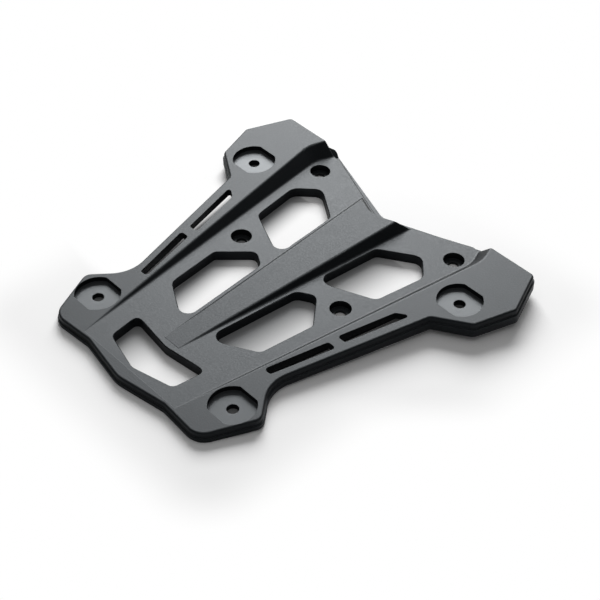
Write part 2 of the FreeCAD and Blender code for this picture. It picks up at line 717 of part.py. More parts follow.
def bend_station(share):
    """A place along the bend: its y and the wall's edge there."""
    y = BEND_START_Y + (BEND_END_Y - BEND_START_Y) * share
    away = y - BEND_CENTRE_Y
    return y, BEND_CENTRE_X + root(BEND * BEND - away * away)


BEND_SECTIONS = []
for number in range(BEND_STEPS + 1):
    station_y, station_x = bend_station(number / BEND_STEPS)
    BEND_SECTIONS.append(valley_section("valley_bend_%d" % number, station_y, station_x, True))
PAST_REAR = S["rear_y"] + S["above"]
REAR_SECTION = valley_section("valley_rear", PAST_REAR, wing_edge_behind(PAST_REAR), True)
LOW_STRIP_Y = (S["strip_drop"] + S["strip_wall_round"] * LOW_WALL) / SLOPE - RISE_Y
STRIP_END_Y = (S["strip_drop"] + S["fade_height"]) / SLOPE - RISE_Y
PANEL_END_Y = S["fade_height"] / SLOPE - RISE_Y
LOW_STRIP = valley_section("valley_low_strip", LOW_STRIP_Y, wing_edge(LOW_STRIP_Y), True)
STRIP_END = valley_section("valley_strip_end", STRIP_END_Y, wing_edge(STRIP_END_Y), True)
NOSE_START = valley_section("valley_nose_start", STRIP_END_Y, wing_edge(STRIP_END_Y), False)
NOSE_END = valley_section("valley_nose_end", PANEL_END_Y, wing_edge(PANEL_END_Y), False)
VALLEY = [
    cut_loft("valley_rear_cut", [REAR_SECTION, BEND_SECTIONS[-1]]),
    cut_loft("valley_bend_cut", BEND_SECTIONS[::-1], ruled=False),
    cut_loft("valley_cut", [BEND_SECTIONS[0], LOW_STRIP, STRIP_END]),
    cut_loft("valley_nose_cut", [NOSE_START, NOSE_END]),
]
mirror("valley", VALLEY)

# The strip ends in a slope that runs parallel to the notch.
TAIL_Y = S["notch_y"] - S["strip_tail_ledge"] / cosine(NOTCH_LEAN)
TAIL_RISE = panel_drop(S["rear_y"])
TAIL_RUN = TAIL_RISE / tangent(S["strip_tail_angle"])
TAIL_SIDE_X = (S["strip_edge_x"] + S["wing_edge_x"]) / 2


def tail_loop(sketch, run):
    apex = TAIL_Y - run / cosine(NOTCH_LEAN)
    corner = apex + TAIL_SIDE_X * NOTCH_SLOPE
    return rounded_loop(sketch, [
        (ZERO, apex, S["notch_round"] + S["strip_tail_ledge"] + run),
        (TAIL_SIDE_X, corner, None),
        (TAIL_SIDE_X, corner + S["outside"], None),
        (ZERO, corner + S["outside"], None),
    ], mirrored=True)


cut_loft("strip_tail", [
    tail_loop(on_panel("strip_tail_foot"), ZERO),
    tail_loop(on_panel("strip_tail_head", -TAIL_RISE), TAIL_RUN),
])


def corner(name, sign=-1):
    """Corner of a window from its three sizes; most lie ahead of the rear cups."""
    y = S[name + "_y"]
    return S[name + "_x"], y if sign > 0 else -y, S[name + "_round"]


# Windows through the panel.
REAR_WINDOW = rounded_loop(on_panel("rear_window_outline"), [
    corner("rear_window_a", 1), corner("rear_window_b", 1), corner("rear_window_c", 1),
    corner("rear_window_d"), corner("rear_window_e"),
])
FRONT_WINDOW = rounded_loop(on_panel("front_window_outline"), [
    corner("front_window_" + letter) for letter in "abcde"
])
NOSE_WINDOW = rounded_loop(on_panel("nose_window_outline"), [
    (ZERO, -(S["cup_front_y"] - S["nose_window_rear_back"]), S["nose_window_rear_round"]),
    (S["nose_window_side_x"], -(S["cup_front_y"] - S["nose_window_side_back"]), S["nose_window_side_round"]),
    (S["nose_window_front_x"], -(S["cup_front_y"] + S["nose_window_front_reach"]),
     S["nose_window_front_round"]),
    (ZERO, -(S["cup_front_y"] + S["nose_window_nose_reach"]), S["nose_window_nose_round"]),
], mirrored=True)
mirror("windows", [
    extrude("Pocket", "rear_window", REAR_WINDOW),
    extrude("Pocket", "front_window", FRONT_WINDOW),
])
extrude("Pocket", "nose_window", NOSE_WINDOW)


def slot_corner(y, wall, inset, radius):
    """Corner of a slot at y, so far in from the wall left between the slots and the rail's edge."""
    edge = NECK[0] + (y - NECK[1]) * (WAIST[0] - NECK[0]) / (WAIST[1] - NECK[1])
    return edge - wall - inset, y, radius


# Slots through the rails, in line either side of a bridge.
SLOT_FRONT_Y = -(S["cup_front_y"] - S["slot_front_back"])
REAR_SLOT = rounded_loop(new_sketch("rear_slot_outline"), [
    slot_corner(-S["slot_bridge_rear_y"], S["slot_bridge_rear_wall"], S["slot_width"],
                S["slot_bridge_round"]),
    slot_corner(-S["slot_bridge_rear_y"], S["slot_bridge_rear_wall"], ZERO, S["slot_bridge_round"]),
    slot_corner(-S["slot_rear_outer_y"], S["slot_rear_wall"], ZERO, S["slot_end_round"]),
    slot_corner(-S["slot_rear_inner_y"], S["slot_rear_wall"], S["slot_rear_width"],
                S["slot_rear_inner_round"]),
])
FRONT_SLOT = rounded_loop(new_sketch("front_slot_outline"), [
    slot_corner(-S["slot_bridge_front_y"], S["slot_bridge_front_wall"], S["slot_width"],
                S["slot_bridge_round"]),
    slot_corner(-S["slot_bridge_front_y"], S["slot_bridge_front_wall"], ZERO, S["slot_bridge_round"]),
    slot_corner(SLOT_FRONT_Y, S["slot_front_wall"], ZERO, S["slot_end_round"]),
    slot_corner(SLOT_FRONT_Y, S["slot_front_wall"], S["slot_front_width"], S["slot_front_round"]),
])
mirror("slots", [
    extrude("Pocket", "rear_slot", REAR_SLOT),
    extrude("Pocket", "front_slot", FRONT_SLOT),
])


def double_flat(sketch, places, diameter, flats):
    """Round outlines with two flats along X."""
    rig = Constrainer(sketch)
    radius = diameter.value / 2
    half = flats.value / 2
    reach = math.sqrt(radius ** 2 - half ** 2)
    turn = math.degrees(math.asin(half / radius))
    for x, y in places:
        cx, cy = x.value, y.value
        right = sketch.addGeometry(arc((cx, cy), radius, -turn, turn))
        rear = sketch.addGeometry(line(cx + reach, cy + half, cx - reach, cy + half))
        left = sketch.addGeometry(arc((cx, cy), radius, 180 - turn, 180 + turn))
        front = sketch.addGeometry(line(cx - reach, cy - half, cx + reach, cy - half))
        rig.add("Coincident", right, 2, rear, 1)
        rig.add("Coincident", rear, 2, left, 1)
        rig.add("Coincident", left, 2, front, 1)
        rig.add("Coincident", front, 2, right, 1)
        rig.add("Coincident", right, 3, left, 3)
        rig.add("Horizontal", rear)
        rig.add("Horizontal", front)
        rig.add("Equal", right, left)
        rig.place(right, 3, x, y)
        rig.measure("Diameter", right, size=diameter)
        rig.measure("DistanceY", right, 3, rear, 1, size=flats / 2)
        rig.measure("DistanceY", front, 1, right, 3, size=flats / 2)
    return sketch


# Cups for the feet of the case, each with a hole in its floor.
CUP_LOOPS = double_flat(new_sketch("cup_outlines"), CUPS, S["cup_diameter"], S["cup_flats"])
CUP_HOLES = circles(new_sketch("cup_hole_circles"), CUPS, S["cup_hole_diameter"])
mirror("cups", [
    extrude("Pocket", "cups_right", CUP_LOOPS, S["cup_depth"]),
    extrude("Pocket", "cup_holes_right", CUP_HOLES),
])

# Counterbored screw holes, square to the panel.
SCREW_CIRCLES = circles(on_panel("screw_circles"), SCREWS, S["screw_bore"])
DOC.recompute()
SCREW_HOLES = BODY.newObject("PartDesign::Hole", "screw_holes_right")
SCREW_HOLES.Profile = SCREW_CIRCLES
DOC.recompute()
SCREW_HOLES.DepthType = "ThroughAll"
SCREW_HOLES.HoleCutType = "Counterbore"
SCREW_HOLES.Diameter = S["screw_bore"].value
SCREW_HOLES.HoleCutCustomValues = True
SCREW_HOLES.HoleCutDiameter = S["screw_head_bore"].value
SCREW_HOLES.HoleCutDepth = S["screw_head_depth"].value
SCREW_HOLES.setExpression("Diameter", S["screw_bore"].text)
SCREW_HOLES.setExpression("HoleCutDiameter", S["screw_head_bore"].text)
SCREW_HOLES.setExpression("HoleCutDepth", S["screw_head_depth"].text)
recompute_and_check(SCREW_HOLES)
mirror("screw_holes", [SCREW_HOLES])


def near(shape, point):
    return shape.distToShape(Part.Vertex(point))[0] < TOUCH


def on_outline(point):
    return near(OUTLINE.Shape, Vector(point.x, point.y, 0))


def upper_wall_faces(shape):
    """The upright faces along the deck outline."""
    faces = []
    for face in shape.Faces:
        u1, u2, v1, v2 = face.ParameterRange
        normal = face.normalAt((u1 + u2) / 2, (v1 + v2) / 2)
        if abs(normal.z) < TOUCH and on_outline(face.valueAt((u1 + u2) / 2, (v1 + v2) / 2)):
            faces.append(face)
    return faces


WALL_FACES = upper_wall_faces(BODY.Tip.Shape)


def upper_outline(edge, mid):
    """Edges between the upper faces and the edge of the plate: no wall stands above them."""
    if not on_outline(mid):
        return False
    run = edge.tangentAt((edge.FirstParameter + edge.LastParameter) / 2)
    level = math.hypot(run.x, run.y) > TOUCH
    above = mid + Vector(0, 0, S["ledge_bevel"].value)
    return level and not any(near(face, above) for face in WALL_FACES)


def on_right(point):
    return Vector(abs(point.x), point.y, point.z)


dress("Fillet", "upper_edge", upper_outline, S["edge_round"])
dress("Chamfer", "window_edges",
      lambda edge, mid: any(near(loop.Shape, on_right(mid))
                            for loop in (REAR_WINDOW, FRONT_WINDOW, NOSE_WINDOW)),
      S["window_bevel"])

# The part lies on its mounting face, with the origin amid the four rack screws.
CENTRE_Y = (S["screw_rear_y"] - S["screw_front_y"]) / 2
LIFT = S["panel_thickness"] - PANEL_BASE * cosine(S["rake"])
SHIFT = PANEL_BASE * sine(S["rake"]) - CENTRE_Y
BODY.Placement = Placement(Vector(0, SHIFT.value, LIFT.value), Rotation(Vector(1, 0, 0), S["rake"].value))
BODY.setExpression("Placement.Base.y", SHIFT.text)
BODY.setExpression("Placement.Base.z", LIFT.text)
BODY.setExpression("Placement.Rotation.Angle", S["rake"].text)
DOC.recompute()

for thing in DOC.Objects:
    if any(word in ("Invalid", "Error") for word in thing.State):
        raise RuntimeError("%s failed: %s" % (thing.Name, thing.State))
plate = BODY.Shape
if plate.isNull() or not plate.isValid() or len(plate.Solids) != 1:
    raise RuntimeError("the plate isn't one valid solid")
os.makedirs("parts", exist_ok=True)
plate.exportStep("parts/%s.step" % BODY.Label)
box = plate.BoundBox
print("%s: %.1f x %.1f x %.1f mm" % (BODY.Label, box.XLength, box.YLength, box.ZLength))
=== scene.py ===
"""Studio scene of a top case bracket, a one-piece aluminium carrier plate in black satin.

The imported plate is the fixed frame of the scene. This file gives the plate its coat, its
machined cup floors and its softened edges, lays it on a pale floor and lights it with
soft boxes. All lengths are in metres.
"""
import logging
import math
from dataclasses import dataclass, field
from enum import Enum
from typing import Any, Mapping, Optional, Sequence, Union

import bpy
from mathutils import Euler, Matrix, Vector


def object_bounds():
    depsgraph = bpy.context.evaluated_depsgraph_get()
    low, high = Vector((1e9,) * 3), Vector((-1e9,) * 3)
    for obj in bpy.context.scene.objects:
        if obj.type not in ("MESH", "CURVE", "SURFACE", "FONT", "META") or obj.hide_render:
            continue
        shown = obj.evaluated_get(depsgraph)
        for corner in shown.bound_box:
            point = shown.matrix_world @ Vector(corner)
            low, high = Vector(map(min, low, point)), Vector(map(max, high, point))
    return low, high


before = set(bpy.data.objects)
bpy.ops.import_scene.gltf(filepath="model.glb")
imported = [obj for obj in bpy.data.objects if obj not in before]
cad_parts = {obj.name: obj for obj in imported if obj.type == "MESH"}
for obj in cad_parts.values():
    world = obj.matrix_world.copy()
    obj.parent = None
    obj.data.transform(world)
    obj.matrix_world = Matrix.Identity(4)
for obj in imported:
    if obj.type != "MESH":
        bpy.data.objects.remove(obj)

LOG = logging.getLogger("top_case_bracket")

Colour = tuple[float, float, float]
Point = tuple[float, float, float]

CAD_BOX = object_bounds()
MM = 0.001
NOISE_MIDDLE = 0.5


class Facing(Enum):
    """Which rays see the floor as plain white."""

    CAMERA = "Is Camera Ray"
    GLOSSY = "Is Glossy Ray"
    TRANSMISSION = "Is Transmission Ray"


class Channel(Enum):
    """What kind of value a Mix node blends."""

    NUMBER = "FLOAT"
    COLOUR = "RGBA"


# For each channel, the Mix node's sockets: factor, first, second and result.
MIX_SOCKETS: Mapping[Channel, tuple[int, int, int, int]] = {
    Channel.NUMBER: (0, 2, 3, 0),
    Channel.COLOUR: (0, 6, 7, 2),
}


class Value:
    """A socket of a shader that takes part in Python expressions."""

    def __init__(self, graph: "Graph", socket: bpy.types.NodeSocket) -> None:
        """Wraps a socket.

        Args:
            graph: The node tree that the socket belongs to.
            socket: An output socket.
        """
        self.graph = graph
        self.socket = socket

    def __add__(self, other: "Operand") -> "Value":
        """Sum of two values."""
        return self.graph.math("ADD", self, other)

    def __radd__(self, other: "Operand") -> "Value":
        """Sum with a number on the left."""
        return self.graph.math("ADD", other, self)

    def __sub__(self, other: "Operand") -> "Value":
        """Difference of two values."""
        return self.graph.math("SUBTRACT", self, other)

    def __rsub__(self, other: "Operand") -> "Value":
        """Difference from a number on the left."""
        return self.graph.math("SUBTRACT", other, self)

    def __mul__(self, other: "Operand") -> "Value":
        """Product of two values."""
        return self.graph.math("MULTIPLY", self, other)

    def __rmul__(self, other: "Operand") -> "Value":
        """Product with a number on the left."""
        return self.graph.math("MULTIPLY", other, self)

    def __truediv__(self, other: "Operand") -> "Value":
        """Quotient of two values."""
        return self.graph.math("DIVIDE", self, other)

    def __rtruediv__(self, other: "Operand") -> "Value":
        """Quotient of a number on the left."""
        return self.graph.math("DIVIDE", other, self)

    def __neg__(self) -> "Value":
        """The value with its sign turned."""
        return self.graph.math("MULTIPLY", self, -1.0)

    def power(self, exponent: "Operand") -> "Value":
        """The value raised to an exponent."""
        return self.graph.math("POWER", self, exponent)

    def distance(self) -> "Value":
        """The value without its sign."""
        return self.graph.math("ABSOLUTE", self)

    def ramp(self, low: float, high: float) -> "Value":
        """Turns a range into 0 to 1 with soft ends.

        Args:
            low: The value that gives 0.
            high: The value that gives 1. It may be the smaller of the two.

        Returns:
            The blend factor.
        """
        rising = high > low
        node = self.graph.node(
            "ShaderNodeMapRange",
            {"interpolation_type": "SMOOTHSTEP", "clamp": True},
            {"Value": self,
             "From Min": low if rising else high, "From Max": high if rising else low,
             "To Min": 0.0 if rising else 1.0, "To Max": 1.0 if rising else 0.0},
        )
        return Value(self.graph, node.outputs["Result"])


Operand = Union[Value, float]


class Graph:
    """The node tree of one material."""

    def __init__(self, name: str) -> None:
        """Starts an empty material.

        Args:
            name: The material's name.
        """
        self.material = bpy.data.materials.new(name)
        self.material.use_nodes = True
        self.tree = self.material.node_tree
        self.tree.nodes.clear()

    def node(
        self,
        kind: str,
        settings: Optional[Mapping[str, Any]] = None,
        inputs: Optional[Mapping[Union[str, int], Any]] = None,
    ) -> bpy.types.Node:
        """Adds a node.

        Args:
            kind: The node's type.
            settings: Its own settings, made first.
            inputs: Numbers, colours or values for its sockets.

        Returns:
            The node.
        """
        node = self.tree.nodes.new(kind)
        for name, setting in (settings or {}).items():
            setattr(node, name, setting)
        for name, given in (inputs or {}).items():
            self.feed(node.inputs[name], given)
        return node

    def feed(self, socket: bpy.types.NodeSocket, given: Any) -> None:
        """Gives a socket a number, a colour or a link.

        Args:
            socket: The input socket.
            given: A Value, an output socket or a plain value.
        """
        if isinstance(given, Value):
            self.tree.links.new(given.socket, socket)
        elif isinstance(given, bpy.types.NodeSocket):
            self.tree.links.new(given, socket)
        elif isinstance(given, tuple) and len(given) == 3 and socket.type == "RGBA":
            socket.default_value = (*given, 1.0)
        else:
            socket.default_value = given

    def math(self, operation: str, first: Operand, second: Optional[Operand] = None) -> Value:
        """Adds a Math node.

        Args:
            operation: Its operation.
            first: Its first number.
            second: Its second number, where it takes one.

        Returns:
            The result.
        """
        inputs = {0: first} if second is None else {0: first, 1: second}
        node = self.node("ShaderNodeMath", {"operation": operation}, inputs)
        return Value(self, node.outputs[0])

    def greater(self, first: Operand, second: Operand) -> Value:
        """The greater of two values."""
        return self.math("MAXIMUM", first, second)

    def split(self, vector: Any) -> tuple[Value, Value, Value]:
        """Takes a vector apart.

        Args:
            vector: A position or a direction.

        Returns:
            Its x, y and z.
        """
        node = self.node("ShaderNodeSeparateXYZ", inputs={0: vector})
        x, y, z = (Value(self, socket) for socket in node.outputs)
        return x, y, z

    def mix(self, channel: Channel, share: Operand, first: Any, second: Any) -> Value:
        """Blends two numbers or two colours.

        Args:
            channel: Whether numbers or colours are blended.
            share: 0 for the first and 1 for the second.
            first: The first number or colour.
            second: The second number or colour.

        Returns:
            The blend.
        """
        factor, a, b, out = MIX_SOCKETS[channel]
        node = self.node(
            "ShaderNodeMix", {"data_type": channel.value},
            {factor: share, a: first, b: second},
        )
        return Value(self, node.outputs[out])

    def noise(self, place: Value, grain: float, detail: float, roughness: float = 0.5) -> Value:
        """Soft random variation.

        Args:
            place: Where it is looked up, in metres.
            grain: Width of one blotch in metres.
            detail: How many finer layers it has.
            roughness: How strong they are.

        Returns:
            A value about 0.5.
        """
        node = self.node(
            "ShaderNodeTexNoise", {"noise_dimensions": "3D"},
            {"Vector": place, "Scale": 1.0 / grain, "Detail": detail, "Roughness": roughness},
        )
        return Value(self, node.outputs[0])

    def output(self, shader: bpy.types.NodeSocket) -> bpy.types.Material:
        """Ends the tree in a shader.

        Args:
            shader: The shader's output socket.

        Returns:
            The finished material.
        """
        self.node("ShaderNodeOutputMaterial", inputs={"Surface": shader})
        return self.material


@dataclass(frozen=True)
class DeckPlane:
    """The plane of the deck, which leans a little against the level mounting face."""

    rake: float = math.radians(2.217)
    shift: float = 14.5469 * MM
    lift: float = 17.8218 * MM

    def place(self, graph: Graph) -> Value:
        """Position on the plate, measured from the deck plane.

        Args:
            graph: The material's node tree.

        Returns:
            The position: x across, y along the deck and z up from it.
        """
        own = graph.node("ShaderNodeTexCoord").outputs["Object"]
        node = graph.node(
            "ShaderNodeMapping", {"vector_type": "TEXTURE"},
            {"Vector": own, "Location": (0.0, self.shift, self.lift),
             "Rotation": (self.rake, 0.0, 0.0)},
        )
        return Value(graph, node.outputs["Vector"])


@dataclass(frozen=True)
class CupFloors:
    """The four turned floors in the cups, smoother than the coat around them."""

    rear_x: float = 120.3 * MM
    front_x: float = 80.2 * MM
    front_y: float = -200.7 * MM
    halfway_y: float = -100.0 * MM
    radius: float = 18.6 * MM
    depth: float = 4.5 * MM
    rim_blend: float = 0.3 * MM
    level_within: float = 0.2 * MM
    level_until: float = 0.5 * MM

    def radial(self, graph: Graph, place: Value) -> tuple[Value, Value]:
        """Distance from the nearest cup's axis, and height above the deck.

        Args:
            graph: The material's node tree.
            place: Position from the deck plane.

        Returns:
            The distance and the height.
        """
        x, y, z = graph.split(place)
        rear = graph.math("GREATER_THAN", y, self.halfway_y)
        across = x.distance() - (rear * self.rear_x + (1 - rear) * self.front_x)
        along = y - (1 - rear) * self.front_y
        return (across * across + along * along).power(0.5), z

    def turned(self, reach: Value, height: Value) -> Value:
        """Where a point lies on a cup's floor.

        Args:
            reach: Distance from the nearest cup's axis.
            height: Height above the deck.

        Returns:
            1 on the floors and 0 elsewhere.
        """
        return reach.ramp(self.radius, self.radius - self.rim_blend) \
            * height.ramp(self.level_until - self.depth, self.level_within - self.depth) \
            * height.ramp(-self.level_until - self.depth, -self.level_within - self.depth)


@dataclass(frozen=True)
class SatinCoat:
    """Fine-grained black satin coat over cast and machined aluminium.

    Faces that look up get full gloss and walls less, a painted shade that darkens the walls. Its
    fine grain changes its colour, roughness and height; along the edges a highlight is painted.
    """

    colour: Colour = (0.0085, 0.0100, 0.0115)
    # lighter colour along the edges: a painted highlight
    painted_edge_colour: Colour = (0.085, 0.090, 0.096)
    speckle: Colour = (0.017, 0.019, 0.021)
    floor_colour: Colour = (0.045, 0.049, 0.052)
    sheen_tint: Colour = (0.885, 0.95, 1.0)
    specular: float = 0.43
    # lower gloss that darkens the walls: a painted shade
    painted_shade_wall_specular: float = 0.16
    wall_turn: float = 0.70  # z of the normal up to which the walls get the lower gloss of the painted shade
    face_turn: float = 0.93  # z of the normal from which the gloss is full
    grain: float = 1.3 * MM
    grain_layers: float = 3.0
    grain_strength: float = 0.6
    blotch: float = 14 * MM
    blotch_layers: float = 2.0
    speckle_from: float = 0.56
    speckle_full: float = 0.74
    floor_clean: float = 0.7  # share of the speckles that turning takes off
    floor_bare: float = 0.8  # share of the floors' own colour
    painted_edge_least: float = 0.35
    roughness: float = 0.51
    roughness_blotch: float = 0.02
    roughness_grain: float = 0.26
    floor_roughness: float = 0.36
    floor_roughness_grain: float = 0.05
    edge_radius: float = 0.45 * MM
    edge_samples: int = 6
    edge_from: float = 0.995  # cosine of the turn where the painted edge highlight starts
    edge_full: float = 0.80  # cosine of the turn where it is full
    turning_pitch: float = 1.1 * MM
    turning_depth: float = 0.12
    relief: float = 0.085 * MM
    relief_strength: float = 0.8
    deck: DeckPlane = field(default_factory=DeckPlane)
    cups: CupFloors = field(default_factory=CupFloors)

    def material(self) -> bpy.types.Material:
        """Builds the coat.

        Returns:
            The material of the whole plate.
        """
        graph = Graph("satin_coat")
        place = self.deck.place(graph)
        reach, height = self.cups.radial(graph, place)
        floor = self.cups.turned(reach, height)
        grain = graph.noise(place, self.grain, self.grain_layers, self.grain_strength)
        blotch = graph.noise(place, self.blotch, self.blotch_layers)
        colour = self.tone(graph, grain, blotch, floor)
        rough = self.dullness(graph, grain, blotch, floor)
        normal = self.surface(graph, grain, reach, floor)
        # two copies of the coat, the walls' copy darkened by less gloss: a painted shade
        painted_shade_walls, full_gloss_faces = (graph.node("ShaderNodeBsdfPrincipled", inputs={
            "Base Color": colour,
            "Roughness": rough,
            "Specular IOR Level": gloss,
            "Specular Tint": self.sheen_tint,
            "Normal": normal,
        }) for gloss in (self.painted_shade_wall_specular, self.specular))
        coated = graph.node("ShaderNodeMixShader", inputs={
            0: self.gloss_free_of_painted_shade(graph), 1: painted_shade_walls.outputs["BSDF"], 2: full_gloss_faces.outputs["BSDF"],
        })
        return graph.output(coated.outputs["Shader"])

    def tone(self, graph: Graph, grain: Value, blotch: Value, floor: Value) -> Value:
        """Colour of the coat, with speckles, bare cup floors and a painted highlight on the
        edges.

        Args:
            graph: The material's node tree.
            grain: The fine variation.
            blotch: The broad variation.
            floor: 1 on the cup floors.

        Returns:
            The colour.
        """
        edge = self.edge_mask(graph)
        speckles = grain.ramp(self.speckle_from, self.speckle_full) \
            * (1 - floor * self.floor_clean)
        colour = graph.mix(Channel.COLOUR, speckles, self.colour, self.speckle)
        colour = graph.mix(Channel.COLOUR, floor * self.floor_bare, colour, self.floor_colour)
        # painted highlight along the edges, with a random strength
        painted_edge_highlight = edge * (self.painted_edge_least + (1 - self.painted_edge_least) * blotch)
        return graph.mix(Channel.COLOUR, painted_edge_highlight, colour, self.painted_edge_colour)

    def dullness(self, graph: Graph, grain: Value, blotch: Value, floor: Value) -> Value:
        """Roughness of the coat and of the turned floors.

        Args:
            graph: The material's node tree.
            grain: The fine variation.
            blotch: The broad variation.
            floor: 1 on the cup floors.

        Returns:
            The roughness.
        """
        fine, broad = grain - NOISE_MIDDLE, blotch - NOISE_MIDDLE
        coat = self.roughness + broad * self.roughness_blotch + fine * self.roughness_grain
        turned = self.floor_roughness + fine * self.floor_roughness_grain
        return graph.mix(Channel.NUMBER, floor, coat, turned)

    def gloss_free_of_painted_shade(self, graph: Graph) -> Value:
        """Where the gloss is full, on faces that look up; walls get less, a painted shade.

        Args:
            graph: The material's node tree.

        Returns:
            1 on the faces that look up and 0 on walls and undersides.
        """
        facing = graph.node("ShaderNodeNewGeometry")
        _, _, upward = graph.split(facing.outputs["Normal"])
        return upward.ramp(self.wall_turn, self.face_turn)

    def softened(self, graph: Graph) -> bpy.types.NodeSocket:
        """Rounds the sharp edges of the surface.

        Args:
            graph: The material's node tree.

        Returns:
            The surface's normal, turned softly across the edges.
        """
        bevel = graph.node("ShaderNodeBevel", {"samples": self.edge_samples},
                           {"Radius": self.edge_radius})
        return bevel.outputs["Normal"]

    def edge_mask(self, graph: Graph) -> Value:
        """Where the surface turns sharply.

        Args:
            graph: The material's node tree.

        Returns:
            1 on edges and 0 elsewhere.
        """
        true = graph.node("ShaderNodeNewGeometry")
        turn = graph.node("ShaderNodeVectorMath", {"operation": "DOT_PRODUCT"},
                          {0: self.softened(graph), 1: true.outputs["Normal"]})
        return Value(graph, turn.outputs["Value"]).ramp(self.edge_from, self.edge_full)

    def surface(self, graph: Graph, grain: Value, reach: Value, floor: Value) -> Value:
        """Grain of the coat and turning marks of the cup floors, on softened edges.

        Args:
            graph: The material's node tree.
            grain: The fine variation.
            reach: Distance from the nearest cup's axis.
            floor: 1 on the cup floors.

        Returns:
            The surface normal.
        """
        rings = graph.math("SINE", reach * (2 * math.pi / self.turning_pitch))
        turned = NOISE_MIDDLE + rings * self.turning_depth
        bump = graph.node("ShaderNodeBump", inputs={
            "Strength": self.relief_strength,
            "Distance": self.relief,
            "Height": graph.mix(Channel.NUMBER, floor, grain, turned),
            "Normal": self.softened(graph),
        })
        return Value(graph, bump.outputs["Normal"])


@dataclass(frozen=True)
class PaintedFloorShade:
    """Painted shade on the floor under the plate, where little light reaches it.

    The shade is painted into the floor's colour: dark discs under the cups' holes, and in
    each window a painted shadow that fades out from the wall between it and the key light.
    Lengths across are half widths, and lengths along are measured on the deck from the rear cups.
    """

    # colour of the painted shade
    colour: Colour = (0.20, 0.205, 0.21)
    side: float = 76 * MM  # outer side of the windows at the rear cups
    side_splay: float = 0.17  # its growth per metre to the rear
    strip_side: float = 20 * MM
    nose_side: float = 42 * MM
    nose_rear: float = -183 * MM
    left_fade: float = 26 * MM
    right_fade: float = 50 * MM
    rear: float = 8 * MM
    front: float = -233 * MM
    blend: float = 4 * MM
    # radius of the painted dark disc under each cup's hole
    hole: float = 17 * MM
    hole_blend: float = 7 * MM
    deck: DeckPlane = field(default_factory=DeckPlane)
    cups: CupFloors = field(default_factory=CupFloors)

    def share(self, graph: Graph) -> Value:
        """Where the floor gets the painted shade.

        Args:
            graph: The floor's node tree.

        Returns:
            1 where the shade is painted and 0 for open floor.
        """
        place = self.deck.place(graph)
        x, y, _ = graph.split(place)
        side = self.side + self.side_splay * y
        right = graph.math("GREATER_THAN", x, 0.0)
        nose = graph.math("LESS_THAN", y, self.nose_rear)
        wall = (1 - nose) * (right * (self.strip_side + side) - side) - nose * self.nose_side
        wide = graph.greater(nose, right)
        fade = self.left_fade + wide * (self.right_fade - self.left_fade)
        inside = (side - x.distance()).ramp(-self.blend, 0.0) \
            * y.ramp(self.rear + self.blend, self.rear) \
            * y.ramp(self.front - self.blend, self.front)
        # painted shadow in the windows, fading out from the wall on the key light's side
        painted_window_shade = ((x - wall) / fade).ramp(1.0, 0.0) * inside
        reach, _ = self.cups.radial(graph, place)
        return graph.greater(painted_window_shade, reach.ramp(self.hole + self.hole_blend, self.hole))


